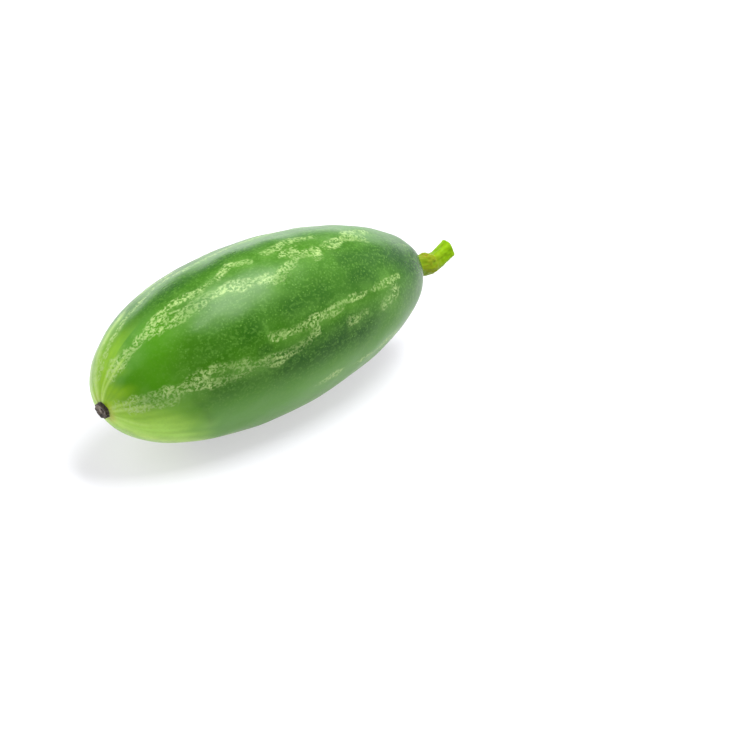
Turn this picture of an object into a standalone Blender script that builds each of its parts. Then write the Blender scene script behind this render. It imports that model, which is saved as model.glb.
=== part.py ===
# Ivy gourd: one whole picked fruit lying on its side, with its cut stalk at +X
# and the withered remains of its blossom at -X. Metres, +Z up. The origin is the
# bottom centre of the whole gourd's box, on the surface that it lies on.

import math

import bmesh
import bpy
from mathutils import Matrix, Vector

# Fruit: an egg curve turned round a gently bent centre line
FRUIT_LENGTH = 0.0610
FRUIT_RADIUS = 0.0130
FRUIT_TAPER = -0.10        # slims the stalk end and fills the blossom end
FRUIT_FULLNESS = 0.02      # fills both shoulders
FRUIT_SHOULDER = -0.03     # slims the stalk end's last third a little more
FLUTES = 10                # faint lengthwise hollows, under every other pale band
FLUTE_DEPTH = 0.008        # share of the radius, where the flutes are deepest
FLUTE_PHASE = math.radians(76)
REST_CUT = 0.00020         # depth of the small flat that the fruit lies on

# Offsets of the centre line at the fruit's two ends
BLOSSOM_SWAY = 0.0004      # towards -Y
BLOSSOM_DROOP = 0.0021     # down
STALK_SWAY = 0.0006        # towards +Y
STALK_DROOP = 0.0012       # down

# Seats: small flats at the ends, which the stalk and the blossom scar stand on
STALK_SEAT_RADIUS = 0.0018
SCAR_SEAT_RADIUS = 0.0014
SEAT_GAP = 0.0003

# Stalk: a ribbed tube that leaves along the fruit's centre line, swells into a knot
# and then rises to its cut end
STALK_LENGTH = 0.00830
STALK_RADIUS = 0.00140
STALK_RIBS = 5
STALK_RIB_HEIGHT = 0.05    # share of the radius
STALK_DIP = math.radians(13)
STALK_DIP_END = 0.15       # share of the length within which it has dipped
STALK_RISE = math.radians(41)
STALK_BEND_START = 0.20    # shares of the length between which it bends upwards
STALK_BEND_END = 0.80
FOOT_FLARE = 0.20          # share of the radius added at the fruit
FOOT_FADE = 0.12           # share of the length over which the foot's flare dies away
KNOT_SWELL = 0.28          # the swollen joint past the foot
KNOT_PLACE = 0.34
KNOT_WIDTH = 0.17
CUT_FLARE = 0.05           # the slight spread behind the cut end
CUT_FADE = 0.10

# Blossom scar: the dry ring that the flower leaves, with the style's stub inside it
SCAR_RADIUS = 0.00130
SCAR_HEIGHT = 0.00050
SCAR_CUP_RADIUS = 0.00082
SCAR_CUP_DEPTH = 0.00022
STUB_RADIUS = 0.00030
STUB_HEIGHT = 0.00015

# Fineness of the faceted solids
FRUIT_SEGMENTS = 60
FRUIT_RINGS = 36
STALK_POINTS = 15
STALK_SIDES = 20
SCAR_STEPS = 28

FRUIT_GREEN = (0.105, 0.290, 0.036, 1.0)
STALK_GREEN = (0.330, 0.460, 0.050, 1.0)
SCAR_BROWN = (0.045, 0.032, 0.024, 1.0)

UP = Vector((0.0, 0.0, 1.0))


def smooth(value):
    """Eases a share from 0 to 1."""
    share = min(max(value, 0.0), 1.0)
    return share * share * (3.0 - 2.0 * share)


def bump(place, middle, width):
    """A rounded hump of height 1 at middle."""
    return math.exp(-(((place - middle) / width) ** 2))


def end_factor(u):
    """How the egg curve departs from an ellipse, u from -1 at the blossom to 1 at the stalk."""
    return 1.0 + FRUIT_TAPER * u + FRUIT_FULLNESS * u ** 2 + FRUIT_SHOULDER * u ** 3


def fruit_radius(u, angle):
    """The fruit's radius at a place along it and an angle round it."""
    egg = FRUIT_RADIUS * math.sqrt(max(1.0 - u * u, 0.0)) * end_factor(u)
    towards_ends = 0.35 + 0.65 * u * u
    return egg * (1.0 - FLUTE_DEPTH * towards_ends * math.cos(FLUTES * (angle - FLUTE_PHASE)))


def centre_line(u):
    """A point of the fruit's centre line."""
    blossom, stalk = max(-u, 0.0), max(u, 0.0)
    return Vector((
        FRUIT_LENGTH / 2.0 * u,
        STALK_SWAY * stalk ** 3 - BLOSSOM_SWAY * blossom ** 3,
        -STALK_DROOP * stalk ** 3 - BLOSSOM_DROOP * blossom ** 3,
    ))


def centre_axes(u):
    """The centre line's direction, and the two axes of the section across it: -Y side and upper side."""
    blossom, stalk = max(-u, 0.0), max(u, 0.0)
    along = Vector((
        FRUIT_LENGTH / 2.0,
        3.0 * (STALK_SWAY * stalk ** 2 + BLOSSOM_SWAY * blossom ** 2),
        3.0 * (BLOSSOM_DROOP * blossom ** 2 - STALK_DROOP * stalk ** 2),
    )).normalized()
    side = along.cross(UP).normalized()
    return along, side, side.cross(along)


def skin_point(u, angle):
    """A point of the fruit's skin, angle 0 at -Y and 90 degrees on top."""
    _, side, top = centre_axes(u)
    radius = fruit_radius(u, angle)
    return centre_line(u) + radius * (math.cos(angle) * side + math.sin(angle) * top)


def seat_turn(radius, end):
    """The egg curve's angle, from its tip, at which it is as wide as a seat."""
    return math.asin(radius / (FRUIT_RADIUS * end_factor(end)))


SCAR_SEAT_U = -math.cos(seat_turn(SCAR_SEAT_RADIUS, -1.0))
STALK_SEAT_U = math.cos(seat_turn(STALK_SEAT_RADIUS, 1.0))


def plain_material(name, colour, roughness):
    """A Principled material of one colour."""
    material = bpy.data.materials.new(name)
    material.use_nodes = True
    shader = material.node_tree.nodes["Principled BSDF"]
    shader.inputs["Base Color"].default_value = colour
    shader.inputs["Roughness"].default_value = roughness
    shader.inputs["Metallic"].default_value = 0.0
    return material


def add_object(name, data, collection, material):
    """Links a new object with its material."""
    made = bpy.data.objects.new(name, data)
    data.materials.append(material)
    collection.objects.link(made)
    return made


def make_fruit(collection):
    """The whole fruit: a sphere's rings drawn onto the egg curve, with a flat to lie on."""
    mesh = bmesh.new()
    bmesh.ops.create_uvsphere(mesh, u_segments=FRUIT_SEGMENTS, v_segments=FRUIT_RINGS, radius=1.0)
    first = seat_turn(SCAR_SEAT_RADIUS, -1.0)
    last = math.pi - seat_turn(STALK_SEAT_RADIUS, 1.0)
    ring_turn = math.pi / FRUIT_RINGS
    for vertex in mesh.verts:
        turn = math.acos(max(-1.0, min(1.0, vertex.co.z)))
        share = (turn - ring_turn) / (math.pi - 2.0 * ring_turn)
        if share < -0.01:
            vertex.co = centre_line(SCAR_SEAT_U)
        elif share > 1.01:
            vertex.co = centre_line(STALK_SEAT_U)
        else:
            u = -math.cos(first + (last - first) * share)
            vertex.co = skin_point(u, math.atan2(vertex.co.y, vertex.co.x))
    bmesh.ops.recalc_face_normals(mesh, faces=mesh.faces)
    lowest = min(vertex.co.z for vertex in mesh.verts)
    bmesh.ops.bisect_plane(
        mesh,
        geom=mesh.verts[:] + mesh.edges[:] + mesh.faces[:],
        dist=1e-6,
        plane_co=Vector((0.0, 0.0, lowest + REST_CUT)),
        plane_no=-UP,
        clear_outer=True,
    )
    bmesh.ops.holes_fill(mesh, edges=[edge for edge in mesh.edges if edge.is_boundary])
    data = bpy.data.meshes.new("gourd_fruit")
    mesh.to_mesh(data)
    mesh.free()
    data.shade_smooth()
    data.set_sharp_from_angle(angle=math.radians(30))
    return add_object("gourd_fruit", data, collection, plain_material("fruit_skin", FRUIT_GREEN, 0.35))


def stalk_radius(share):
    """The stalk's radius along its length, as a factor on its plain radius."""
    foot = FOOT_FLARE * math.exp(-share / FOOT_FADE)
    knot = KNOT_SWELL * bump(share, KNOT_PLACE, KNOT_WIDTH)
    cut = CUT_FLARE * math.exp(-(1.0 - share) / CUT_FADE)
    return 1.0 + foot + knot + cut


def rib_outline():
    """The stalk's section, a closed outline with low ribs, used as the tube's bevel."""
    data = bpy.data.curves.new("stalk_section", "CURVE")
    data.dimensions = "2D"
    spline = data.splines.new("POLY")
    spline.points.add(STALK_SIDES - 1)
    for number, point in enumerate(spline.points):
        angle = -math.tau * number / STALK_SIDES
        radius = STALK_RADIUS * (1.0 + STALK_RIB_HEIGHT * math.cos(STALK_RIBS * angle))
        point.co = (radius * math.cos(angle), radius * math.sin(angle), 0.0, 1.0)
    spline.use_cyclic_u = True
    section = bpy.data.objects.new("stalk_section", data)
    section.hide_render = True
    section.display_type = "WIRE"
    return section


def make_stalk(collection, guides):
    """The stalk: a tube along a path that dips a little and then rises to its cut end."""
    along, side, top = centre_axes(STALK_SEAT_U)
    section = rib_outline()
    guides.objects.link(section)
    data = bpy.data.curves.new("gourd_stalk", "CURVE")
    data.dimensions = "3D"
    data.bevel_mode = "OBJECT"
    data.bevel_object = section
    data.use_fill_caps = True
    spline = data.splines.new("POLY")
    spline.points.add(STALK_POINTS - 1)
    step = STALK_LENGTH / (STALK_POINTS - 1)
    place = centre_line(STALK_SEAT_U) + SEAT_GAP * along
    for number, point in enumerate(spline.points):
        share = number / (STALK_POINTS - 1)
        point.co = (*place, 1.0)
        point.radius = stalk_radius(share)
        bend = smooth((share - STALK_BEND_START) / (STALK_BEND_END - STALK_BEND_START))
        pitch = STALK_RISE * bend - STALK_DIP * smooth(share / STALK_DIP_END)
        place = place + step * (math.cos(pitch) * along + math.sin(pitch) * top)
    return add_object("gourd_stalk", data, collection, plain_material("stalk_green", STALK_GREEN, 0.5))


def make_scar(collection):
    """The blossom scar: a turned ring with a shallow cup and a stub, set on the fruit's tip."""
    floor = SCAR_HEIGHT - SCAR_CUP_DEPTH
    profile = [
        (0.0, floor + STUB_HEIGHT),
        (STUB_RADIUS * 0.8, floor + STUB_HEIGHT),
        (STUB_RADIUS, floor + STUB_HEIGHT * 0.6),
        (STUB_RADIUS * 1.3, floor),
        (SCAR_CUP_RADIUS * 0.9, floor),
        (SCAR_CUP_RADIUS, floor + SCAR_CUP_DEPTH * 0.5),
        (SCAR_RADIUS * 0.80, SCAR_HEIGHT),
        (SCAR_RADIUS * 0.93, SCAR_HEIGHT * 0.98),
        (SCAR_RADIUS, SCAR_HEIGHT * 0.80),
        (SCAR_RADIUS * 0.97, SCAR_HEIGHT * 0.30),
        (SCAR_RADIUS * 0.92, 0.0),
        (0.0, 0.0),
    ]
    data = bpy.data.meshes.new("blossom_scar")
    edges = [(number, number + 1) for number in range(len(profile) - 1)]
    data.from_pydata([(radius, 0.0, height) for radius, height in profile], edges, [])
    scar = add_object("blossom_scar", data, collection, plain_material("dry_blossom", SCAR_BROWN, 0.85))
    turned = scar.modifiers.new("Turned", "SCREW")
    turned.axis = "Z"
    turned.angle = math.tau
    turned.steps = SCAR_STEPS
    turned.render_steps = SCAR_STEPS
    turned.use_merge_vertices = True
    turned.merge_threshold = 1e-6
    turned.use_smooth_shade = True
    along, side, top = centre_axes(SCAR_SEAT_U)
    outwards = Matrix((side, top, -along)).transposed()
    if outwards.determinant() < 0.0:
        outwards = Matrix((top, side, -along)).transposed()
    scar.matrix_world = (
        Matrix.Translation(centre_line(SCAR_SEAT_U) - SEAT_GAP * along) @ outwards.to_4x4()
    )
    return scar


def corners(pieces):
    """The lowest and highest corner of the pieces' shapes as the viewport shows them."""
    bpy.context.view_layer.update()
    graph = bpy.context.evaluated_depsgraph_get()
    points = []
    for piece in pieces:
        shown = piece.evaluated_get(graph)
        mesh = shown.to_mesh()
        points += [shown.matrix_world @ vertex.co for vertex in mesh.vertices]
        shown.to_mesh_clear()
    low = Vector([min(point[axis] for point in points) for axis in range(3)])
    high = Vector([max(point[axis] for point in points) for axis in range(3)])
    return low, high


def main():
    """Clears the scene, builds the three pieces and stands their box's bottom centre on the origin."""
    for old in list(bpy.data.objects):
        bpy.data.objects.remove(old)
    gourd = bpy.data.collections.new("ivy_gourd")
    guides = bpy.data.collections.new("ivy_gourd_guides")
    bpy.context.scene.collection.children.link(gourd)
    bpy.context.scene.collection.children.link(guides)
    holder = bpy.data.objects.new("ivy_gourd_origin", None)
    gourd.objects.link(holder)
    pieces = [make_fruit(gourd), make_stalk(gourd, guides), make_scar(gourd)]
    for piece in pieces:
        piece.parent = holder
    low, high = corners(pieces)
    holder.location = -Vector(((low.x + high.x) / 2.0, (low.y + high.y) / 2.0, low.z))
    bpy.context.view_layer.update()


main()
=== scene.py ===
"""The looks of one whole ivy gourd: its skin, its cut stalk and its dry blossom scar.

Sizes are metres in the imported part's own frame. Along the fruit, a station u runs from -1 at
the blossom end to 1 at the stalk. Round it, an angle is 0 at -Y and a quarter turn on top.
"""

import logging
import math
from collections.abc import Sequence
from dataclasses import dataclass, replace
from enum import Enum

import bpy
import numpy as np
from mathutils import Matrix, Vector


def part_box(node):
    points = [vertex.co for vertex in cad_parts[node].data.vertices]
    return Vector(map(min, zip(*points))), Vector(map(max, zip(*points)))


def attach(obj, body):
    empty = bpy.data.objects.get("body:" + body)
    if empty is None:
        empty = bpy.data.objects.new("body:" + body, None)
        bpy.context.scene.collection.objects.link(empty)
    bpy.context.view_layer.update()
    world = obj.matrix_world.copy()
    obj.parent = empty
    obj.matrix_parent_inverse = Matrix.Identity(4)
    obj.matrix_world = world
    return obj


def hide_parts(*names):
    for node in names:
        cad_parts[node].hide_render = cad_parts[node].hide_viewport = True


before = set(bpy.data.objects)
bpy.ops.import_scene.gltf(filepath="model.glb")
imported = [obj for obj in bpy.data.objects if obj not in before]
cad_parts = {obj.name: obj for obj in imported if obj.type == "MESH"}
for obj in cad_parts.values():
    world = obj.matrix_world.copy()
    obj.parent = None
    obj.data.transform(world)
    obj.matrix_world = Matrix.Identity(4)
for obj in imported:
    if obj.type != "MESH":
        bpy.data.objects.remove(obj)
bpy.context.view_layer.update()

Colour = tuple[float, float, float]
Point = tuple[float, float, float]
Array = np.ndarray
Object = bpy.types.Object
Material = bpy.types.Material
Socket = bpy.types.NodeSocket
Owner = Material | bpy.types.World
Named = dict[str, object]
Faces = list[tuple[int, ...]]

LOG = logging.getLogger("ivy_gourd")
MM = 0.001
WAX_IOR = 1.45
BODY = "root"


def srgb(red: int, green: int, blue: int) -> Colour:
    """Turns a screen's colour, 0 to 255 each, into the linear one that a shader takes."""
    return tuple(((part / 255.0 + 0.055) / 1.055) ** 2.4 for part in (red, green, blue))


def eased(values: Array) -> Array:
    """Eases shares from 0 to 1 and holds them there."""
    share = np.clip(values, 0.0, 1.0)
    return share * share * (3.0 - 2.0 * share)


def hump(places: Array, middle: float, width: Array | float) -> Array:
    """A rounded hump of height 1 at a middle place."""
    return np.exp(-(((places - middle) / width) ** 2))


def net(rows: Array, spokes: int) -> tuple[Array, Array]:
    """Each ring's value and each spoke's angle, at all points of a net of rings."""
    turns = np.linspace(0.0, math.tau, spokes, endpoint=False)
    return np.repeat(rows, spokes), np.tile(turns, len(rows))


def angle_from_below(angle: Array) -> Array:
    """How far round each angle is from the underside, 0 to half a turn."""
    return np.abs((angle + math.pi / 2.0 + math.pi) % math.tau - math.pi)


@dataclass(frozen=True)
class Ripple:
    """A smooth random field over a surface: a sum of sine waves with seeded directions.

    Attributes:
        length: Typical distance between two crests, in metres.
        stretch: How much longer the field is along X than across it.
    """

    seed: int
    length: float
    waves: int = 14
    stretch: float = 1.0

    def at(self, points: Array) -> Array:
        """The field's height at some points.

        Args:
            points: One a row.

        Returns:
            Heights, about -1 to 1.
        """
        draw = np.random.default_rng(self.seed)
        total = np.zeros(len(points))
        for _ in range(self.waves):
            direction = draw.normal(size=3)
            direction /= np.linalg.norm(direction)
            direction[0] /= self.stretch
            turn = math.tau / self.length * draw.uniform(0.6, 1.5)
            total += np.sin(points @ direction * turn + draw.uniform(0.0, math.tau))
        return total * math.sqrt(2.0 / self.waves) * 0.5


class Value:
    """A socket's number that Python expressions go on working with."""

    def __init__(self, graph: "Graph", socket: Socket) -> None:
        """Keeps the socket and the graph that it belongs to."""
        self.graph = graph
        self.socket = socket

    def _math(self, operation: str, *numbers: "Value | float") -> "Value":
        """Adds a Math node on one or two numbers."""
        sockets = dict(zip(("Value", "Value_001"), numbers))
        return self.graph.value("ShaderNodeMath", {"operation": operation}, sockets, "Value")

    def __add__(self, other: "Value | float") -> "Value":
        """self + other."""
        return self._math("ADD", self, other)

    def __radd__(self, other: float) -> "Value":
        """other + self."""
        return self._math("ADD", other, self)

    def __sub__(self, other: "Value | float") -> "Value":
        """self - other."""
        return self._math("SUBTRACT", self, other)

    def __rsub__(self, other: float) -> "Value":
        """other - self."""
        return self._math("SUBTRACT", other, self)

    def __mul__(self, other: "Value | float") -> "Value":
        """self * other."""
        return self._math("MULTIPLY", self, other)

    def __rmul__(self, other: float) -> "Value":
        """other * self."""
        return self._math("MULTIPLY", other, self)

    def __abs__(self) -> "Value":
        """abs(self)."""
        return self._math("ABSOLUTE", self)

    def above(self, other: "Value | float") -> "Value":
        """The greater of two numbers."""
        return self._math("MAXIMUM", self, other)

    def held(self) -> "Value":
        """The number held between 0 and 1."""
        return self._math("MINIMUM", self.above(0.0), 1.0)

    def ramp(self, low: float, high: float) -> "Value":
        """Eases from 0 to 1.

        Args:
            low: Where the result is 0.
            high: Where the result is 1; it may be below low.

        Returns:
            The eased share.
        """
        falling = float(high < low)
        span = {"From Min": min(low, high), "From Max": max(low, high)}
        sockets = {"Value": self, **span, "To Min": falling, "To Max": 1.0 - falling}
        return self.graph.value("ShaderNodeMapRange", {"interpolation_type": "SMOOTHSTEP"}, sockets, "Result")


class Graph:
    """The nodes of a material or of the world, built from expressions."""

    def __init__(self, owner: Owner, shader: str = "Principled BSDF") -> None:
        """Takes hold of a new material's or world's nodes.

        Args:
            owner: The material or world.
            shader: Its shader node's name.
        """
        owner.use_nodes = True
        self.owner, self.tree = owner, owner.node_tree
        self.shader = self.tree.nodes[shader]

    @classmethod
    def material(cls, name: str) -> "Graph":
        """Starts a material with a Principled shader."""
        return cls(bpy.data.materials.new(name))

    @staticmethod
    def _find(sockets: Sequence[Socket], key: str) -> Socket:
        """Finds a socket by its identifier."""
        return next(socket for socket in sockets if socket.identifier == key)

    def _put(self, socket: Socket, content: object) -> None:
        """Links an input or sets it.

        Args:
            socket: The input.
            content: A Value, a node's socket, a number, or a colour or vector.
        """
        if isinstance(content, Value):
            content = content.socket
        if isinstance(content, Socket):
            self.tree.links.new(content, socket)
        else:
            socket.default_value = (*content, 1.0) if socket.type == "RGBA" else content

    def node(self, kind: str, settings: Named, sockets: Named) -> bpy.types.Node:
        """Adds a node.

        Args:
            kind: Its type.
            settings: Its settings, which come first.
            sockets: Contents of its inputs, by identifier.

        Returns:
            The node.
        """
        made = self.tree.nodes.new(kind)
        for key, setting in settings.items():
            setattr(made, key, setting)
        for key, content in sockets.items():
            self._put(self._find(made.inputs, key), content)
        return made

    def value(self, kind: str, settings: Named, sockets: Named, out: str) -> Value:
        """Adds a node and gives one of its outputs as a number."""
        return Value(self, self._find(self.node(kind, settings, sockets).outputs, out))

    def out(self, kind: str, settings: Named, sockets: Named, out: str) -> Socket:
        """Adds a node and gives one of its outputs as a colour or vector."""
        return self._find(self.node(kind, settings, sockets).outputs, out)

    def vector(self, operation: str, first: Socket, second: object, inlet: str = "Vector_001") -> Socket:
        """Adds a Vector Math node on a vector and on what the second inlet takes."""
        sockets = {"Vector": first, inlet: second}
        return self.out("ShaderNodeVectorMath", {"operation": operation}, sockets, "Vector")

    def dot(self, first: Socket, second: Point) -> Value:
        """The dot product of a vector socket and a plain vector."""
        sockets = {"Vector": first, "Vector_001": second}
        return self.value("ShaderNodeVectorMath", {"operation": "DOT_PRODUCT"}, sockets, "Value")

    def attributes(self, *names: str) -> list[Value]:
        """Reads numbers that the mesh keeps on its points."""
        return [self.value("ShaderNodeAttribute", {"attribute_name": name}, {}, "Fac") for name in names]

    def place(self, along: float = 1.0) -> Socket:
        """The point's place in millimetres; along is below 1 for a pattern that is longer along X."""
        spot = self.out("ShaderNodeTexCoord", {}, {}, "Object")
        return self.vector("MULTIPLY", spot, (along / MM, 1.0 / MM, 1.0 / MM))

    def noise(self, spot: Socket, size: float, detail: float = 2.0, out: str = "Fac") -> Value:
        """A noise whose features have a size in millimetres, with finer layers as its detail."""
        sockets = {"Vector": spot, "Scale": 1.0 / size, "Detail": detail}
        return self.value("ShaderNodeTexNoise", {}, sockets, out)

    def warped(self, spot: Socket, size: float, reach: float) -> Socket:
        """Shifts a place by up to a reach, in millimetres, so that a pattern on it looks grown."""
        push = self.vector("SUBTRACT", self.noise(spot, size, 1.0, "Color").socket, (0.5, 0.5, 0.5))
        return self.vector("ADD", spot, self.vector("SCALE", push, 2.0 * reach, "Scale"))

    def mix(self, share: Value, first: object, second: object) -> Socket:
        """Mixes two colours or links, from the first at a share of 0 to the second at 1."""
        sockets = {"Factor_Float": share, "A_Color": first, "B_Color": second}
        return self.out("ShaderNodeMix", {"data_type": "RGBA"}, sockets, "Result_Color")

    def layered(self, colour: Socket, *layers: tuple[Value, object]) -> Socket:
        """Lays colours over one another.

        Args:
            colour: The lowest one.
            layers: Each further one's share, 0 to 1, and colour.

        Returns:
            The result.
        """
        for share, over in layers:
            colour = self.mix(share, colour, over)
        return colour

    def finish(self, sockets: Named) -> Owner:
        """Sets the shader's sockets, by identifier, and gives the finished owner."""
        for key, content in sockets.items():
            self._put(self._find(self.shader.inputs, key), content)
        return self.owner

    def bump(self, height: Value, strength: float, distance: float) -> Socket:
        """Turns a height of about 0 to 1 into a Normal; distance is what 1 stands for, in metres."""
        sockets = {"Strength": strength, "Distance": distance, "Height": height}
        return self.out("ShaderNodeBump", {}, sockets, "Normal")


@dataclass(frozen=True)
class SkinFinish:
    """The gourd's waxy green skin with its netted pale marks and flecks, and with painted shade, painted
    light and painted reflection laid into its colours.
    """

    middle: Colour = srgb(60, 114, 4)
    # deep: the skin's own dark green, also laid on as painted shade.
    deep: Colour = srgb(18, 70, 0)
    # bright: the blossom end's own bright green, also laid on the lower side as painted light.
    bright: Colour = srgb(68, 130, 0)
    fresh: Colour = srgb(140, 184, 26)
    belly: Colour = srgb(158, 204, 78)
    # pale: a painted reflection of the ground on the lower side and a painted sheen on the far upper side.
    pale: Colour = srgb(136, 184, 104)
    rust: Colour = srgb(176, 150, 30)
    mark: Colour = srgb(170, 195, 120)
    fleck: Colour = srgb(102, 150, 60)
    ray: Colour = srgb(192, 222, 112)
    roughness: float = 0.34
    shine: float = 0.18
    shine_tint: Colour = (0.90, 1.0, 0.76)
    wax: float = 0.22
    wax_roughness: float = 0.27
    relief: float = 0.00006
    fleck_density: float = 2.4
    net_density: float = 1.45

    def flecks(self, graph: Graph) -> Value:
        """The tiny pale dots that lie all over the skin.

        Args:
            graph: The skin's nodes.

        Returns:
            Where they are, 0 to 1.
        """
        spot = graph.warped(graph.place(0.85), 3.0, 0.5)
        sockets = {"Vector": spot, "Scale": self.fleck_density}
        cell = graph.node("ShaderNodeTexVoronoi", {"feature": "F1"}, sockets)
        near = Value(graph, cell.outputs["Distance"])
        draw = graph.value("ShaderNodeSeparateColor", {}, {"Color": cell.outputs["Color"]}, "Red")
        crowd = graph.noise(graph.place(0.6), 4.0).ramp(0.10, 0.52)
        dots = near.ramp(0.40, 0.10) * draw.ramp(-0.10, 1.00)
        dust = graph.noise(graph.place(0.8), 0.40, 1.0).ramp(0.48, 0.70)
        return dots.above(dust * 0.45) * (crowd * 0.85 + 0.15)

    def marks(self, graph: Graph, band: Value) -> Value:
        """The pale worm-like and netted marks that make up the bands.

        Args:
            graph: The skin's nodes.
            band: How near the point is to the middle of a band, 0 to 1.

        Returns:
            Where they are, 0 to 1.
        """
        spot = graph.warped(graph.place(0.80), 0.7, 0.30)
        sockets = {"Vector": spot, "Scale": self.net_density}
        edges = graph.value("ShaderNodeTexVoronoi", {"feature": "DISTANCE_TO_EDGE"}, sockets, "Distance")
        lines = edges.ramp(0.28, 0.04)
        loops = abs(graph.noise(spot, 0.60, 0.0) - 0.5).ramp(0.135, 0.018)
        gaps = graph.noise(graph.place(0.8), 0.38, 1.0).ramp(0.32, 0.62)
        broken = graph.noise(graph.place(0.55), 1.7, 3.0)
        reach = (band * 1.15 + broken * 1.9 - 1.45).ramp(0.0, 0.45)
        strong = graph.noise(graph.place(0.5), 2.4).ramp(0.28, 0.66)
        return (lines * 0.8).above(loops) * gaps * reach * (strong * 0.60 + 0.40)

    def material(self) -> Material:
        """Builds the skin's material."""
        graph = Graph.material("gourd_skin")
        band, halo, ray, deep, bright = graph.attributes("band", "halo", "ray", "deep", "bright")
        fresh, belly, streak, pale, rust = graph.attributes("fresh", "belly", "streak", "pale", "rust")
        broad = graph.noise(graph.place(0.45), 9.0)
        fine = graph.noise(graph.place(0.6), 1.6, 3.0)
        # Deepness is the own dark green and stripes together with painted shade.
        deepness = (deep + (broad - 0.5) * 0.50 + (fine - 0.5) * 0.40).held()
        halo = halo * graph.noise(graph.place(0.5), 2.2).ramp(0.30, 0.75)
        worms = self.marks(graph, band)
        colour = graph.layered(
            # The bright share is the blossom end's own colour and painted light on the lower side.
            graph.mix(bright + (fine - 0.5) * 0.20, self.middle, self.bright),
            (deepness, self.deep),
            # The pale layer is painted reflection and painted sheen.
            (pale * (fine * 0.8 + 0.6), self.pale),
            (fresh + (fine - 0.5) * fresh * 0.5 + streak * fresh * 0.22, self.fresh),
            (belly + (fine - 0.5) * belly * 0.4 + streak * belly * 0.22, self.belly),
            (ray * (fine * 0.6 + 0.5), self.ray),
            (rust * (fine * 0.8 + 0.2), self.rust),
            (halo * 0.42, self.fleck),
            (self.flecks(graph) * (0.70 - bright * 0.46), self.fleck),
            (worms * 0.92, self.mark),
        )
        grain = graph.noise(graph.place(), 0.35)
        dimples = graph.noise(graph.place(), 1.3)
        height = grain * 0.35 + dimples * 0.65 + worms * 0.35
        gloss = self.roughness + (broad - 0.5) * 0.16 + worms * 0.08 - deepness * 0.06
        return graph.finish({
            "Base Color": colour,
            "Roughness": gloss,
            "Normal": graph.bump(height, 0.55, self.relief),
            "IOR": WAX_IOR,
            "Specular IOR Level": self.shine,
            "Specular Tint": self.shine_tint,
            "Coat Weight": self.wax - deepness * self.wax,
            "Coat Roughness": self.wax_roughness,
            "Coat IOR": WAX_IOR,
            "Subsurface Weight": 0.10,
            "Subsurface Radius": (0.9, 1.3, 0.35),
            "Subsurface Scale": 0.0010,
        })


@dataclass(frozen=True)
class StalkFinish:
    """The cut stalk: ribbed yellow-green, corky at its knot and pale at its cut, with painted shade in the
    grooves between its ribs.
    """

    lime: Colour = srgb(132, 172, 0)
    olive: Colour = srgb(118, 138, 4)
    painted_groove_shade: Colour = srgb(88, 128, 6)
    cork: Colour = srgb(150, 154, 36)
    speck: Colour = srgb(112, 78, 20)
    cut: Colour = srgb(156, 182, 74)
    pith: Colour = srgb(190, 206, 132)

    def material(self) -> Material:
        """Builds the stalk's material."""
        graph = Graph.material("gourd_stalk_green")
        fibre = graph.noise(graph.place(0.18), 0.32)
        mottle = graph.noise(graph.place(0.5), 0.9, 3.0)
        tip, painted_groove_shade, knot, rim, cut, pith = graph.attributes("tip", "painted_groove_shade", "knot", "rim", "cut", "pith")
        corky = knot * mottle.ramp(0.42, 0.66)
        specks = graph.noise(graph.place(0.7), 0.30).ramp(0.54, 0.68)
        bruise = mottle.ramp(0.50, 0.72) * rim
        colour = graph.layered(
            graph.mix(tip + (mottle - 0.5) * 0.5, self.olive, self.lime),
            # Painted shade darkens the grooves between the ribs; fibre noise streaks the same dark green.
            (painted_groove_shade * 0.5 + (fibre - 0.5) * 0.6, self.painted_groove_shade),
            (corky * 0.60, self.cork),
            (specks * knot * 0.65 + bruise * 0.6, self.speck),
            (cut, graph.mix(pith, self.cut, self.pith)),
        )
        height = fibre * 0.6 + mottle * 0.4 + corky * 0.4
        return graph.finish({
            "Base Color": colour,
            "Roughness": 0.52 + corky * 0.2 + cut * 0.1,
            "Normal": graph.bump(height, 0.7, 0.00008),
            "Subsurface Weight": 0.15,
            "Subsurface Radius": (0.8, 1.0, 0.3),
            "Subsurface Scale": 0.0008,
            "Specular IOR Level": 0.12,
            "Specular Tint": (1.0, 1.0, 0.6),
        })


@dataclass(frozen=True)
class ScarFinish:
    """The withered blossom's remains: near black, with a weathered grey-brown face that is painted lighter
    towards its upper side as painted light.
    """

    char: Colour = srgb(38, 30, 24)
    bark: Colour = srgb(74, 58, 44)
    weathered: Colour = srgb(148, 136, 122)

    def material(self) -> Material:
        """Builds the scar's material."""
        graph = Graph.material("gourd_dry_blossom")
        grain = graph.noise(graph.place(), 0.22, 3.0)
        blotch = graph.noise(graph.place(), 0.7)
        colour = graph.mix(grain.ramp(0.35, 0.70), self.char, self.bark)
        face, = graph.attributes("face")
        # The face's grey is stronger on the upper side: painted light.
        colour = graph.mix(face * blotch.ramp(0.34, 0.56) * 0.9, colour, self.weathered)
        return graph.finish({
            "Base Color": colour,
            "Roughness": 0.55 + (grain - 0.5) * 0.4,
            "Normal": graph.bump(grain, 0.9, 0.00010),
            "Specular IOR Level": 0.45,
        })


@dataclass(frozen=True)
class FloorFinish:
    """The plain white ground."""

    white: Colour = (0.42, 0.42, 0.425)
    lit: Colour = (0.430, 0.408, 0.442)
    glow: float = 1.25

    def material(self) -> Material:
        """Builds the ground's material."""
        graph = Graph.material("white_ground")
        return graph.finish({
            "Base Color": self.white,
            "Roughness": 0.6,
            "Specular IOR Level": 0.2,
            "Emission Color": self.lit,
            "Emission Strength": self.glow,
        })


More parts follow.
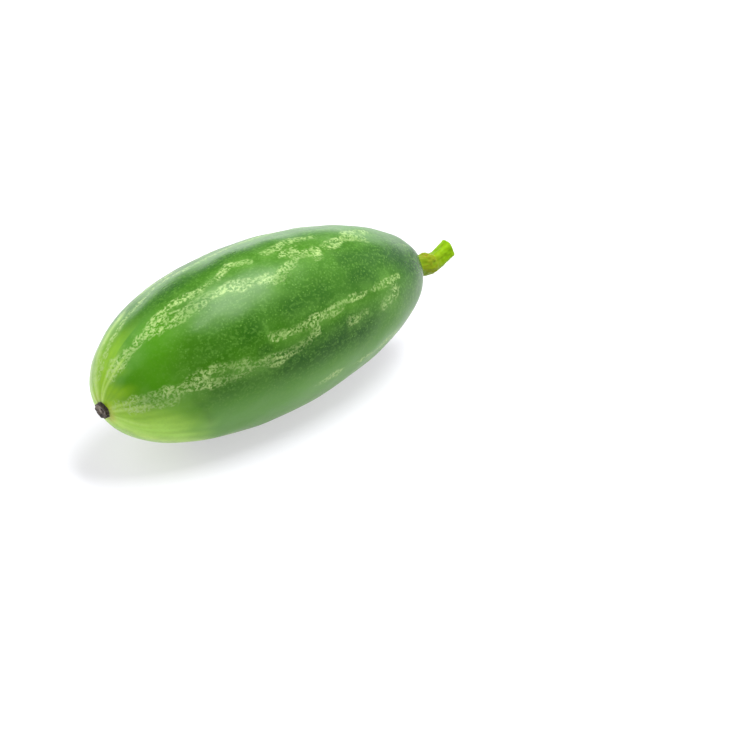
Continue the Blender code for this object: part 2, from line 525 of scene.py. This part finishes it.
@dataclass(frozen=True)
class GourdForm:
    """The fruit's plain form: an egg curve turned round a bent centre line with its middle at origin."""

    length: float = 0.0610
    radius: float = 0.0130
    taper: float = -0.10
    fullness: float = 0.02
    shoulder: float = -0.03
    flutes: int = 10
    flute_depth: float = 0.008
    flute_phase: float = math.radians(76)
    blossom_sway: float = 0.0004
    blossom_droop: float = 0.0021
    stalk_sway: float = 0.0006
    stalk_droop: float = 0.0012
    stalk_seat: float = 0.0018
    scar_seat: float = 0.0014
    origin: Point = (0.0, 0.0, 0.0)

    def end_factor(self, u: Array | float) -> Array | float:
        """How the egg curve departs from an ellipse at a station."""
        return 1.0 + self.taper * u + self.fullness * u ** 2 + self.shoulder * u ** 3

    def seat_station(self, seat: float, end: float) -> float:
        """The station towards an end, -1 or 1, at which the egg is as wide as a seat's radius."""
        return end * math.cos(math.asin(seat / (self.radius * self.end_factor(end))))

    def width(self, u: Array, angle: Array) -> Array:
        """The skin's distance from the centre line, with the faint flutes."""
        egg = self.radius * np.sqrt(np.maximum(1.0 - u * u, 0.0)) * self.end_factor(u)
        flutes = (0.35 + 0.65 * u * u) * np.cos(self.flutes * (angle - self.flute_phase))
        return egg * (1.0 - self.flute_depth * flutes)

    def centre(self, u: Array) -> Array:
        """Points of the centre line.

        Args:
            u: Stations.

        Returns:
            One point a row.
        """
        blossom, stalk = np.maximum(-u, 0.0), np.maximum(u, 0.0)
        along = self.length / 2.0 * u
        sway = self.stalk_sway * stalk ** 3 - self.blossom_sway * blossom ** 3
        droop = -self.stalk_droop * stalk ** 3 - self.blossom_droop * blossom ** 3
        return np.stack((along, sway, droop), axis=-1) + np.array(self.origin)

    def axes(self, u: Array) -> tuple[Array, Array, Array]:
        """The centre line's direction and the section's two axes.

        Args:
            u: Stations.

        Returns:
            Along the fruit, towards -Y and upwards, one unit vector a row each.
        """
        blossom, stalk = np.maximum(-u, 0.0), np.maximum(u, 0.0)
        sway = 3.0 * (self.stalk_sway * stalk ** 2 + self.blossom_sway * blossom ** 2)
        droop = 3.0 * (self.blossom_droop * blossom ** 2 - self.stalk_droop * stalk ** 2)
        along = np.stack((np.full_like(u, self.length / 2.0), sway, droop), axis=-1)
        along /= np.linalg.norm(along, axis=-1, keepdims=True)
        side = np.cross(along, (0.0, 0.0, 1.0))
        side /= np.linalg.norm(side, axis=-1, keepdims=True)
        return along, side, np.cross(side, along)

    def skin(self, u: Array, angle: Array, proud: Array | float = 0.0) -> Array:
        """Points of the skin.

        Args:
            u: Stations.
            angle: Angles.
            proud: How far each point stands out of the plain form.

        Returns:
            One point a row.
        """
        _, side, top = self.axes(u)
        reach = (self.width(u, angle) + proud)[..., None]
        return self.centre(u) + reach * (np.cos(angle)[..., None] * side + np.sin(angle)[..., None] * top)

    def grid(self, rings: int, spokes: int) -> tuple[Array, Array]:
        """Stations and angles of a net over the skin from seat to seat.

        Args:
            rings: Rings along the fruit.
            spokes: Points in a ring.

        Returns:
            The stations and angles, ring by ring.
        """
        first = math.acos(-self.seat_station(self.scar_seat, -1.0))
        last = math.acos(-self.seat_station(self.stalk_seat, 1.0))
        return net(-np.cos(np.linspace(first, last, rings)), spokes)

    def fitted(self, low: Vector, high: Vector) -> "GourdForm":
        """The same form, moved to where the solid fruit stands.

        Args:
            low: The solid's lowest corner.
            high: Its highest corner.

        Returns:
            The moved form.
        """
        points = self.skin(*self.grid(120, 180))
        middle = (points.min(axis=0) + points.max(axis=0)) / 2.0
        goal = (np.array(low) + np.array(high)) / 2.0
        lift = float(high[2]) - float(points[:, 2].max())
        return replace(self, origin=(goal[0] - middle[0], goal[1] - middle[1], lift))


class Patch(Enum):
    """What the pale marks do along a band."""

    STEADY = "steady"
    PATCHY = "patchy"


@dataclass(frozen=True)
class Band:
    """A lengthwise band of pale marks.

    Attributes:
        route: (station, angle in degrees) of a few points on its middle line.
        phase: Shifts the patches of a patchy band.
        fade: The difference of stations over which it fades past its ends.
    """

    route: tuple[tuple[float, float], ...]
    half_width: float = 0.0009
    strength: float = 1.0
    patch: Patch = Patch.STEADY
    phase: float = 0.0
    fade: float = 0.05

    @classmethod
    def grown(cls, angle: float, seed: int, patch: Patch = Patch.PATCHY) -> "Band":
        """A band with a drawn wander, for the sides that the photograph doesn't show.

        Args:
            angle: In degrees.
            seed: Seed of the draw.
            patch: What its marks do.

        Returns:
            The band.
        """
        stops = 9
        draw = np.random.default_rng(seed)
        stations = np.linspace(-0.95, draw.uniform(0.6, 0.85), stops)
        angles = angle + draw.normal(0.0, 3.2, size=stops)
        route = tuple((round(float(u), 2), round(float(a))) for u, a in zip(stations, angles))
        half_width = draw.uniform(0.0008, 0.0012)
        strength = draw.uniform(0.84, 1.0)
        return cls(route, half_width, strength, patch, draw.uniform(0.0, 9.0))

    def nearness(self, form: GourdForm, u: Array, angle: Array, widen: float = 1.0) -> Array:
        """How near each place is to the band's middle line.

        Args:
            form: The fruit's form.
            u: Stations.
            angle: Angles.
            widen: Factor on the width.

        Returns:
            1 on the line, falling to 0 round it.
        """
        stations = np.array([stop[0] for stop in self.route])
        angles = np.radians([stop[1] for stop in self.route])
        middle = np.interp(u, stations, angles)
        apart = (angle - middle + math.pi) % math.tau - math.pi
        across = np.abs(apart) * form.width(u, angle) / (self.half_width * widen)
        along = eased((u - stations[0]) / self.fade + 1.0) * eased((stations[-1] - u) / self.fade + 1.0)
        if self.patch is Patch.PATCHY:
            waves = np.sin(u * 15.0 + self.phase) + 0.7 * np.sin(u * 27.0 + 2.3 * self.phase)
            along = along * (0.76 + 0.24 * np.clip(waves, -1.0, 1.0))
        return self.strength * along * np.exp(-across ** 2)


def front_bands() -> tuple[Band, ...]:
    """The bands on the sides that the photograph shows."""
    upper = ((-0.70, 82), (-0.58, 83), (-0.45, 79), (-0.33, 80), (-0.23, 86), (-0.14, 81))
    over_it = ((-0.04, 82), (0.05, 84), (0.15, 88), (0.28, 84))
    under_it = (
        (-0.93, 80), (-0.78, 79), (-0.66, 71), (-0.41, 72), (-0.28, 69),
        (-0.16, 64), (-0.08, 61), (0.00, 65), (0.10, 73), (0.22, 69),
    )
    lower = ((-0.97, 25), (-0.75, 20), (-0.66, 24), (-0.50, 21), (-0.42, 18))
    beside_it = (
        (-0.93, 12), (-0.78, 11), (-0.69, 17), (-0.58, 13),
        (-0.44, 15), (-0.25, 12), (-0.12, 15), (0.00, 20),
    )
    return (
        Band(upper, 0.0010, 0.95),
        Band(over_it, 0.0010, 0.95),
        Band(under_it, 0.0013, 1.0),
        Band(((-0.93, 88), (-0.82, 85), (-0.70, 79), (-0.52, 75), (-0.38, 73)), 0.0012, 0.8, Patch.PATCHY),
        Band(((-0.02, 74), (0.10, 79), (0.22, 78)), 0.0012, 0.8, Patch.PATCHY),
        Band(((0.28, 72), (0.40, 76), (0.54, 74)), 0.0012, 1.0),
        Band(((0.46, 81), (0.56, 80), (0.66, 84)), 0.0011, 0.75, Patch.PATCHY),
        Band(((0.62, 64), (0.82, 60)), 0.0010, 0.65, Patch.PATCHY),
        Band(lower, 0.0012, 1.0),
        Band(beside_it, 0.0011, 0.95),
        Band(((-0.27, 27), (-0.12, 26), (0.08, 26), (0.18, 29)), 0.0011, 1.0),
        Band(((0.18, 30), (0.30, 28), (0.46, 30), (0.62, 31)), 0.0007, 1.0),
        Band(((0.20, 16), (0.33, 17)), 0.0012, 0.9),
        Band(((0.44, 13), (0.52, 16), (0.64, 22)), 0.0015, 0.75, Patch.PATCHY),
        Band(((-0.97, 113), (-0.84, 112), (-0.66, 110)), 0.0009, 0.6, Patch.PATCHY),
        Band(((-0.08, -22), (0.15, -19), (0.40, -24), (0.74, -20)), 0.0010, 0.9, Patch.PATCHY),
    )


def front_stripes() -> tuple[Band, ...]:
    """The dark stripes beside the bands that the photograph shows; the low ones are partly painted shade."""
    long_stripe = ((-0.64, 34), (-0.45, 34), (-0.25, 37), (0.10, 41), (0.40, 42))
    return (
        # The next three low stripes are partly the skin's own dark stripes and partly painted shade along the
        # underside.
        Band(((-0.55, 4), (-0.45, 4), (-0.30, 6)), 0.0016, 0.45, fade=0.20),
        Band(((-0.20, 6), (0.00, 5), (0.18, 8), (0.26, 6)), 0.0026, 0.9, fade=0.25),
        Band(((-0.70, 4), (-0.66, -8), (-0.64, -20)), 0.0014, 0.40),
        Band(long_stripe, 0.0026, 0.75, Patch.PATCHY, 2.0, 0.20),
        Band(((-0.80, 98), (-0.40, 95), (0.10, 97), (0.50, 96)), 0.0016, 0.40, Patch.PATCHY, 4.0),
        Band(((0.30, 58), (0.60, 52), (0.94, 44)), 0.0028, 0.60),
        Band(((-0.34, 22), (-0.30, 22)), 0.0010, 0.8),
    )


def rays() -> tuple[Band, ...]:
    """The thin pale lines that run out from the blossom scar."""
    def ray(half_width: float, strength: float, *route: tuple[float, float]) -> Band:
        """One such line."""
        return Band(route, half_width, strength, fade=0.06)

    return (
        ray(0.00026, 0.80, (-0.99, 84), (-0.94, 80), (-0.88, 79)),
        ray(0.00022, 0.60, (-0.99, 92), (-0.93, 89), (-0.90, 88)),
        ray(0.00026, 0.80, (-0.99, 14), (-0.95, 15), (-0.92, 14)),
        ray(0.00022, 0.50, (-0.99, 30), (-0.95, 26), (-0.93, 25)),
        ray(0.00055, 0.75, (-0.98, 118), (-0.93, 124), (-0.82, 123), (-0.72, 121)),
        ray(0.00030, 0.50, (-0.99, -14), (-0.93, -17)),
        ray(0.00090, 0.65, (-0.98, -40), (-0.90, -46), (-0.74, -50), (-0.60, -52)),
        ray(0.00040, 0.60, (-0.99, 155), (-0.90, 151), (-0.78, 150)),
        ray(0.00030, 0.60, (-0.99, 186), (-0.90, 189), (-0.82, 190)),
        ray(0.00035, 0.60, (-0.99, 226), (-0.92, 224), (-0.80, 226)),
        ray(0.00035, 0.50, (-0.99, 262), (-0.88, 265), (-0.74, 264)),
    )


def back_bands() -> tuple[Band, ...]:
    """The bands round the rest of the fruit, in pairs as on the sides that show."""
    middles = (118, 154, 190, 226, 262, 300)
    sides = ((-5.5, Patch.STEADY), (5.5, Patch.PATCHY))
    places = [(middle + side, patch) for middle in middles for side, patch in sides]
    return tuple(Band.grown(angle, 40 + number, patch) for number, (angle, patch) in enumerate(places))


def back_stripes() -> tuple[Band, ...]:
    """The dark stripes between the bands of the other sides."""
    middles = (136, 172, 208, 244, 281)
    stripes = [Band.grown(middle, 70 + number) for number, middle in enumerate(middles)]
    return tuple(replace(stripe, half_width=0.0020, strength=0.6) for stripe in stripes)


def mesh_object(name: str, points: Array, faces: Faces) -> Object:
    """Makes a smooth-shaded mesh object.

    Args:
        name: Its name.
        points: Its points, one a row.
        faces: Its faces, as point numbers.

    Returns:
        The object.
    """
    mesh = bpy.data.meshes.new(name)
    mesh.from_pydata(points.tolist(), [], faces)
    mesh.validate()
    mesh.shade_smooth()
    made = bpy.data.objects.new(name, mesh)
    bpy.context.scene.collection.objects.link(made)
    return made


def tube_faces(rings: int, spokes: int) -> Faces:
    """Faces of a closed tube of rings that turn left-handed about the way along.

    Args:
        rings: How many rings it has.
        spokes: Points in a ring.

    Returns:
        The faces, facing out. After the rings come the points that close the first and the last one.
    """
    first_cap = rings * spokes
    faces: Faces = []
    for spoke in range(spokes):
        after = (spoke + 1) % spokes
        faces.append((first_cap, after, spoke))
        for ring in range(rings - 1):
            low, high = ring * spokes, (ring + 1) * spokes
            faces.append((low + spoke, low + after, high + after, high + spoke))
        end = (rings - 1) * spokes
        faces.append((first_cap + 1, end + spoke, end + after))
    return faces


def keep_numbers(piece: Object, numbers: dict[str, Array], caps: tuple[float, float]) -> None:
    """Stores numbers on a tube's points for its material.

    Args:
        piece: The tube.
        numbers: Arrays by attribute name.
        caps: The numbers of the points that close its ends.
    """
    for name, values in numbers.items():
        layer = piece.data.attributes.new(name, "FLOAT", "POINT")
        layer.data.foreach_set("value", np.append(values, caps).astype(np.float32))


def place_on_part(piece: Object, node: str, material: Material) -> Object:
    """Dresses a piece and lets it stand for a solid.

    Args:
        piece: The piece.
        node: The solid.
        material: Its material.

    Returns:
        The piece.
    """
    piece.data.materials.append(material)
    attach(piece, BODY)
    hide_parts(node)
    return piece


@dataclass
class Fruit:
    """The whole fruit with its lumps, creases and markings."""

    form: GourdForm
    finish: SkinFinish = SkinFinish()
    rings: int = 300
    spokes: int = 256
    lump: float = 0.00016
    dent: float = 0.00005
    crease: float = 0.00022
    crease_reach: float = 0.0030
    creases: int = 10
    shoulder_lobe: float = 0.00020
    shoulder_reach: float = 0.0045
    sunken: float = 0.0004
    blunt: float = 0.00024
    blunt_turn: float = math.radians(76)
    belly_turns: tuple[float, ...] = (0.0, 45.0, 62.0, 80.0, 100.0, 120.0)
    belly_ends: tuple[float, ...] = (-0.42, -0.48, -0.56, -0.60, -0.62, -0.68)
    belly_side: float = 60.0
    fresh_end: float = -0.66
    calm_turn: float = 137.0
    streaks: tuple[tuple[int, float], ...] = ((17, 1.0), (26, 1.6), (38, 2.0))

    def from_end(self, points: Array, end: float) -> Array:
        """How far points lie from the blossom end, -1, or the stalk end, 1."""
        return np.linalg.norm(points - self.form.centre(np.array([end])), axis=1)

    def nearest(self, bands: tuple[Band, ...], u: Array, angle: Array, widen: float = 1.0) -> Array:
        """How near each place is to the nearest of some bands, 0 to 1."""
        return np.max([band.nearness(self.form, u, angle, widen) for band in bands], axis=0)

    def relief(self, u: Array, angle: Array) -> Array:
        """How far the grown skin stands out of the plain form.

        Args:
            u: Stations.
            angle: Angles.

        Returns:
            Distances, in metres.
        """
        plain = self.form.skin(u, angle)
        blossom, stalk = self.from_end(plain, -1.0), self.from_end(plain, 1.0)
        lumps = self.lump * Ripple(3, 0.019, stretch=1.8).at(plain)
        dents = self.dent * Ripple(5, 0.0045, 24, 1.5).at(plain)
        wander = 0.35 * Ripple(8, 0.004).at(plain)
        fold = np.abs(np.cos(self.creases / 2.0 * (angle - self.form.flute_phase) + wander)) ** 0.6
        gathered = -self.crease * hump(blossom, self.form.scar_seat, self.crease_reach) * (1.0 - fold)
        lobes = self.shoulder_lobe * hump(stalk, 0.0, self.shoulder_reach) * np.cos(5.0 * angle + 0.6)
        upper_side = (0.5 + 0.5 * np.cos(angle - self.blunt_turn)) ** 3
        shoulder = self.blunt * upper_side * (hump(u, 0.88, 0.09) + 0.4 * hump(u, 0.90, 0.05))
        off_ends = eased((1.0 - np.abs(u)) / 0.004)
        off_floor = eased((angle_from_below(angle) - 0.10) / 0.35)
        return (lumps + dents) * off_ends * off_floor + gathered + lobes + shoulder

    def markings(self, u: Array, angle: Array) -> dict[str, Array]:
        """The numbers from which the skin's colours are made, painted shade, light and reflection among them.

        Args:
            u: Stations.
            angle: Angles.

        Returns:
            Arrays by attribute name.
        """
        plain = self.form.skin(u, angle)
        bands = front_bands() + back_bands()
        stripe = self.nearest(front_stripes() + back_stripes(), u, angle)
        sway = Ripple(11, 0.014, stretch=2.0).at(plain)
        fine_sway = Ripple(12, 0.0030, 24, 2.0).at(plain)
        turn = np.degrees(angle)
        under = np.degrees(angle_from_below(angle))
        belly_end = np.interp(under, self.belly_turns, self.belly_ends)
        belly = eased((belly_end - u + 0.05 * sway + 0.03 * fine_sway) / 0.30)
        belly = belly * (1.0 - eased((under - self.belly_side + 6.0 * sway) / self.belly_side))
        calm = eased((62.0 - np.abs(under - self.calm_turn)) / 36.0) * (np.cos(angle) > 0.0)
        fresh_end = self.fresh_end - 0.22 * calm + 0.02 * sway + 0.02 * fine_sway
        streak = sum(np.cos(turns * angle + 2.1 * turns + wave * sway) for turns, wave in self.streaks)
        # Painted shade: the end beside the stalk is painted darker.
        painted_shade_at_stalk_end = 0.45 * eased((u - 0.50 + 0.05 * sway) / 0.35)
        bright = eased((-0.58 - u + 0.06 * sway) / 0.24)
        # Painted sheen and painted shade: the far upper side is painted greyer and darker.
        far = 0.45 * eased((turn - 76.0) / 24.0) * eased((140.0 - turn) / 30.0) * eased((0.35 - u) / 0.4)
        # Painted reflection: the lower side is painted a pale grey-green, as the white ground would mirror in
        # it.
        low = eased((99.0 - under + 4.0 * sway) / 28.0) * eased((u + 0.74) / 0.14) * eased(1.2 - u)
        ring = hump(self.from_end(plain, -1.0), self.form.scar_seat, 0.0009)
        return {
            "band": self.nearest(bands, u, angle),
            "halo": self.nearest(bands, u, angle, 2.4),
            "ray": self.nearest(rays(), u, angle),
            # deep holds the own dark stripes and tone, with painted shade at the stalk end, on the far upper
            # side and in the low stripes.
            "deep": np.clip(0.12 + 0.88 * stripe + painted_shade_at_stalk_end + far + 0.10 * sway - 0.30 * bright, -0.2, 1.0),
            # Painted light: the lower side is painted lighter green, as if lit from the ground.
            "bright": np.maximum(bright, 0.9 * eased((100.0 - under) / 36.0)),
            "fresh": eased((fresh_end - u) / (0.33 - 0.19 * calm)),
            "belly": belly,
            # pale is painted reflection on the lower side and painted sheen on the far upper side.
            "pale": np.maximum(0.24 * low, 0.12 * far),
            "streak": streak / len(self.streaks),
            "rust": ring * (0.5 + 0.5 * fine_sway),
        }

    def build(self) -> Object:
        """Builds and dresses the fruit.

        Returns:
            The piece.
        """
        u, angle = self.form.grid(self.rings, self.spokes)
        skin = self.form.skin(u, angle, self.relief(u, angle))
        skin[:, 2] = np.maximum(skin[:, 2], 0.0)
        ends = np.array([u[0], u[-1]])
        caps = self.form.centre(ends) + self.sunken * self.form.axes(ends)[0] * np.array([[1.0], [-1.0]])
        faces = tube_faces(self.rings, self.spokes)
        piece = mesh_object("gourd_fruit_skin", np.vstack((skin, caps)), faces)
        keep_numbers(piece, self.markings(u, angle), (0.0, 0.0))
        return place_on_part(piece, "gourd_fruit", self.finish.material())


@dataclass
class Stalk:
    """The cut stalk: a ribbed tube with a corky knot and an oblique cut."""

    form: GourdForm
    finish: StalkFinish = StalkFinish()
    length: float = 0.00830
    radius: float = 0.00140
    ribs: int = 5
    rib_height: float = 0.055
    dip: float = math.radians(13)
    dip_end: float = 0.15
    rise: float = math.radians(41)
    bend_start: float = 0.24
    bend_end: float = 0.80
    foot_flare: float = 0.10
    foot_fade: float = 0.06
    knot_swell: float = 0.40
    knot_place: float = 0.38
    knot_rise: float = 0.18
    knot_fall: float = 0.17
    cut_flare: float = 0.05
    cut_fade: float = 0.10
    cut_slant: float = 0.00035
    cut_turn: float = 2.2
    cut_hollow: float = 0.00022
    rough: float = 0.00008
    gap: float = 0.0003
    sunk: float = 0.0005
    rings: int = 150
    spokes: int = 96
    cut_rings: int = 16

    def path(self, shares: Array) -> tuple[Array, Array, Array]:
        """The stalk's middle line.

        Args:
            shares: Evenly spaced shares of its length.

        Returns:
            Points, directions and upward axes, one a row.
        """
        seat = np.array([self.form.seat_station(self.form.stalk_seat, 1.0)])
        along, side, top = (axis[0] for axis in self.form.axes(seat))
        bend = eased((shares - self.bend_start) / (self.bend_end - self.bend_start))
        pitch = (self.rise * bend - self.dip * eased(shares / self.dip_end))[:, None]
        ways = np.cos(pitch) * along + np.sin(pitch) * top
        steps = ways[:-1] * self.length * np.diff(shares)[:, None]
        start = self.form.centre(seat) + self.gap * along
        points = np.vstack((start, start + np.cumsum(steps, axis=0)))
        points[0] -= (self.gap + self.sunk) * along
        return points, ways, np.cross(side, ways)

    def build(self) -> Object:
        """Builds and dresses the stalk.

        Returns:
            The piece.
        """
        shares = np.linspace(0.0, 1.0, self.rings)
        points, ways, tops = self.path(shares)
        sides = np.cross(ways, tops)
        share, turn = net(shares, self.spokes)
        foot = self.foot_flare * np.exp(-share / self.foot_fade)
        upper = 0.62 + 0.38 * np.sin(turn)
        width = np.where(share < self.knot_place, self.knot_rise, self.knot_fall)
        knot = self.knot_swell * hump(share, self.knot_place, width) * upper
        flare = self.cut_flare * np.exp(-(1.0 - share) / self.cut_fade)
        rib = self.rib_height * np.cos(self.ribs * turn + 0.8 * share) + 0.012 * np.cos(17.0 * turn)
        reach = self.radius * (1.0 + foot + knot + flare + rib)
        lines = (points, sides, tops, ways)
        middles, sides, tops, along = (np.repeat(line, self.spokes, axis=0) for line in lines)
        cross = np.cos(turn)[:, None] * sides + np.sin(turn)[:, None] * tops
        skin = middles + reach[:, None] * cross
        rough = self.rough * Ripple(21, 0.0011, 20).at(skin) * (0.5 + hump(share, self.knot_place, 0.2))
        skin = skin + rough[:, None] * cross
        slant = self.cut_slant * np.cos(turn - self.cut_turn) * eased((share - 0.8) / 0.2)
        skin = skin + slant[:, None] * along
        rim = skin[-self.spokes:]
        middle = rim.mean(axis=0)
        inner = np.linspace(1.0, 0.0, self.cut_rings + 2)[1:-1]
        sink = self.cut_hollow * ways[-1]
        face = np.vstack([middle + (rim - middle) * size - sink * (1.0 - size ** 2) for size in inner])
        face = face + (0.00003 * Ripple(25, 0.0005, 20).at(face))[:, None] * ways[-1]
        caps = np.vstack((points[0], middle - sink))
        body = np.vstack((skin, face, caps))
        faces = tube_faces(self.rings + self.cut_rings, self.spokes)
        piece = mesh_object("gourd_stalk_tube", body, faces)
        on_cut = np.repeat(inner, self.spokes)
        none, full = np.zeros_like(on_cut), np.ones_like(on_cut)
        numbers = {
            "tip": (eased((share - 0.35) / 0.5), full),
            # Painted shade: the grooves between the ribs get the dark green.
            "painted_groove_shade": (np.clip(0.5 - rib / self.rib_height / 2.0, 0.0, 1.0), none),
            "knot": (hump(share, 0.32, 0.22) * (0.60 + 0.40 * np.sin(turn)), none),
            "rim": (0.25 + 0.75 * eased((share - 0.84) / 0.14), 0.4 * eased((on_cut - 0.7) / 0.25)),
            "cut": (eased((share - 0.992) / 0.008), full),
            "pith": (np.zeros_like(share), 1.0 - eased((on_cut - 0.25) / 0.35)),
        }
        keep_numbers(piece, {name: np.concatenate(parts) for name, parts in numbers.items()}, (0.0, 1.0))
        return place_on_part(piece, "gourd_stalk", self.finish.material())


@dataclass
class BlossomScar:
    """The dry ring that the flower leaves, with the style's stub inside it."""

    form: GourdForm
    finish: ScarFinish = ScarFinish()
    radius: float = 0.00126
    height: float = 0.00050
    gap: float = 0.0001
    cup_radius: float = 0.00088
    cup_depth: float = 0.00024
    stub_radius: float = 0.00034
    stub_height: float = 0.00022
    sunk: float = 0.0003
    spokes: int = 120
    steps: int = 8

    def profile(self) -> list[tuple[float, float]]:
        """The turned outline.

        Returns:
            Radius and height of each point, from the foot over the rim to the middle.
        """
        top = self.height + self.gap
        floor = top - self.cup_depth
        return [
            (self.radius * 0.95, -self.sunk),
            (self.radius * 1.02, 0.0),
            (self.radius * 0.94, top * 0.30),
            (self.radius * 0.97, top * 0.62),
            (self.radius * 1.00, top * 0.84),
            (self.radius * 0.93, top * 0.98),
            (self.radius * 0.80, top),
            (self.cup_radius, floor + self.cup_depth * 0.45),
            (self.cup_radius * 0.88, floor),
            (self.stub_radius * 1.35, floor),
            (self.stub_radius, floor + self.stub_height * 0.6),
            (self.stub_radius * 0.6, floor + self.stub_height),
        ]

    def build(self) -> Object:
        """Builds and dresses the scar.

        Returns:
            The piece.
        """
        stops = np.array(self.profile())
        last = len(stops) - 1
        fine = np.linspace(0.0, last, last * self.steps + 1)
        radii, heights = (np.interp(fine, np.arange(last + 1), column) for column in stops.T)
        radius, turn = net(radii, self.spokes)
        height = np.repeat(heights, self.spokes)
        flat = np.stack((radius * np.cos(turn), radius * np.sin(turn), height), axis=1)
        frill = 0.05 * np.cos(5.0 * turn + 0.4) + 0.03 * np.cos(11.0 * turn + 1.3)
        wrinkle = 0.00007 * Ripple(31, 0.0006, 26).at(flat)
        outer = eased(radius / self.radius * 1.6 - 0.5)
        radius = radius * (1.0 + frill * outer * 0.7) + wrinkle * outer
        height = height + wrinkle * 0.8 * eased(height / self.height * 2.0)
        station = np.array([self.form.seat_station(self.form.scar_seat, -1.0)])
        along, side, top = (axis[0] for axis in self.form.axes(station))
        seat = self.form.centre(station)[0]
        ring = np.cos(turn)[:, None] * top + np.sin(turn)[:, None] * side
        body = seat + radius[:, None] * ring - height[:, None] * along
        tip = self.height + self.gap - self.cup_depth + self.stub_height
        caps = np.vstack((seat + self.sunk * along, seat - tip * along))
        faces = tube_faces(len(radii), self.spokes)
        piece = mesh_object("blossom_scar_ring", np.vstack((body, caps)), faces)
        face = 1.0 - eased((np.repeat(radii, self.spokes) / self.radius - 0.75) / 0.20)
        # Painted light: the weathered face is painted lighter towards the top.
        upper = 0.6 + 0.4 * np.cos(turn)
        keep_numbers(piece, {"face": face * upper}, (0.0, 1.0))
        return place_on_part(piece, "blossom_scar", self.finish.material())


@dataclass(frozen=True)
class Softbox:
    """A rectangular light over the fruit, whose long side runs along it; its power is in watts."""

    name: str = "overhead_softbox"
    way: Point = (0.30, -0.09, 0.95)
    distance: float = 0.60
    length: float = 0.48
    depth: float = 0.23
    power: float = 5.4
    tint: Colour = (0.96, 0.99, 1.0)


@dataclass
class Studio:
    """The white ground, the soft light and the camera; target is the fruit's middle."""

    target: Point
    elevation: float = math.radians(30.0)
    azimuth: float = math.radians(-42.26)
    distance: float = 0.45076
    field_of_view: float = math.radians(14.0)
    frame_pixels: int = 750
    target_pixel: tuple[float, float] = (264.25, 325.92)
    ground_size: float = 6.0
    room_glow: float = 0.26
    sweep_glow: float = 3.1
    finish: FloorFinish = FloorFinish()
    softboxes: tuple[Softbox, ...] = (
        Softbox(),
        Softbox("side_softbox", (0.72, -0.30, 0.58), 0.60, 0.60, 0.60, 1.3),
        Softbox("rear_softbox", (-0.66, 0.45, 0.58), 0.70, 1.00, 0.80, 3.5),
    )

    def camera_axes(self) -> tuple[Vector, Vector, Vector]:
        """The camera's right, upward and backward directions."""
        back = Vector((
            math.sin(self.azimuth) * math.cos(self.elevation),
            -math.cos(self.azimuth) * math.cos(self.elevation),
            math.sin(self.elevation),
        ))
        right = Vector((math.cos(self.azimuth), math.sin(self.azimuth), 0.0))
        return right, back.cross(right), back

    def add_camera(self) -> None:
        """Stands the camera where the photograph was taken from."""
        right, up, back = self.camera_axes()
        half = self.frame_pixels / 2.0
        pixel = self.distance * math.tan(self.field_of_view / 2.0) / half
        across, down = ((place - half) * pixel for place in self.target_pixel)
        eye = Vector(self.target) + back * self.distance - right * across + up * down
        data = bpy.data.cameras.new("photo_camera")
        data.sensor_width = 36.0
        data.lens = data.sensor_width / 2.0 / math.tan(self.field_of_view / 2.0)
        data.clip_start = 0.01
        camera = bpy.data.objects.new("photo_camera", data)
        camera.matrix_world = Matrix.Translation(eye) @ Matrix((right, up, back)).transposed().to_4x4()
        bpy.context.scene.collection.objects.link(camera)
        bpy.context.scene.camera = camera

    def add_softbox(self, box: Softbox) -> None:
        """Hangs a softbox so that it faces the fruit.

        Args:
            box: The softbox.
        """
        data = bpy.data.lights.new(box.name, "AREA")
        data.shape = "RECTANGLE"
        data.size = box.length
        data.size_y = box.depth
        data.energy = box.power
        data.color = box.tint
        light = bpy.data.objects.new(box.name, data)
        direction = Vector(box.way).normalized()
        light.location = Vector(self.target) + direction * box.distance
        light.rotation_euler = direction.to_track_quat("Z", "Y").to_euler()
        bpy.context.scene.collection.objects.link(light)

    def add_ground(self) -> None:
        """Lays the white ground under the gourd."""
        half = self.ground_size / 2.0
        corners = np.array([(-half, -half, 0.0), (half, -half, 0.0), (half, half, 0.0), (-half, half, 0.0)])
        ground = mesh_object("white_ground", corners, [(0, 1, 2, 3)])
        ground.data.materials.append(self.finish.material())

    def add_world(self) -> None:
        """Surrounds the scene with a white sweep behind the gourd and a dim room in front."""
        graph = Graph(bpy.data.worlds.new("white_room"), "Background")
        way = graph.out("ShaderNodeTexCoord", {}, {}, "Generated")
        _, _, back = self.camera_axes()
        behind = Vector((-back.x, -back.y, 0.0)).normalized()
        forward = graph.dot(way, tuple(behind))
        height = graph.dot(way, (0.0, 0.0, 1.0))
        strength = self.room_glow + forward.ramp(0.50, 1.00) * height.ramp(0.36, 0.06) * self.sweep_glow
        bpy.context.scene.world = graph.finish({"Color": (0.93, 0.97, 1.0), "Strength": strength})

    def build(self) -> None:
        """Sets up the ground, the lights, the world and the camera."""
        self.add_ground()
        for box in self.softboxes:
            self.add_softbox(box)
        self.add_world()
        self.add_camera()
        scene = bpy.context.scene
        scene.view_settings.view_transform = "Standard"
        scene.view_settings.look = "None"
        LOG.info("studio: camera %.0f mm away", self.distance / MM)


def main() -> None:
    """Builds the studio and the gourd's three pieces in order."""
    logging.basicConfig(level=logging.INFO, format="%(name)s: %(message)s")
    form = GourdForm().fitted(*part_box("gourd_fruit"))
    Studio(form.origin).build()
    for sub_assembly in (Fruit(form), Stalk(form), BlossomScar(form)):
        piece = sub_assembly.build()
        LOG.info("%s: %d faces", piece.name, len(piece.data.polygons))


if __name__ == "__main__":
    main()
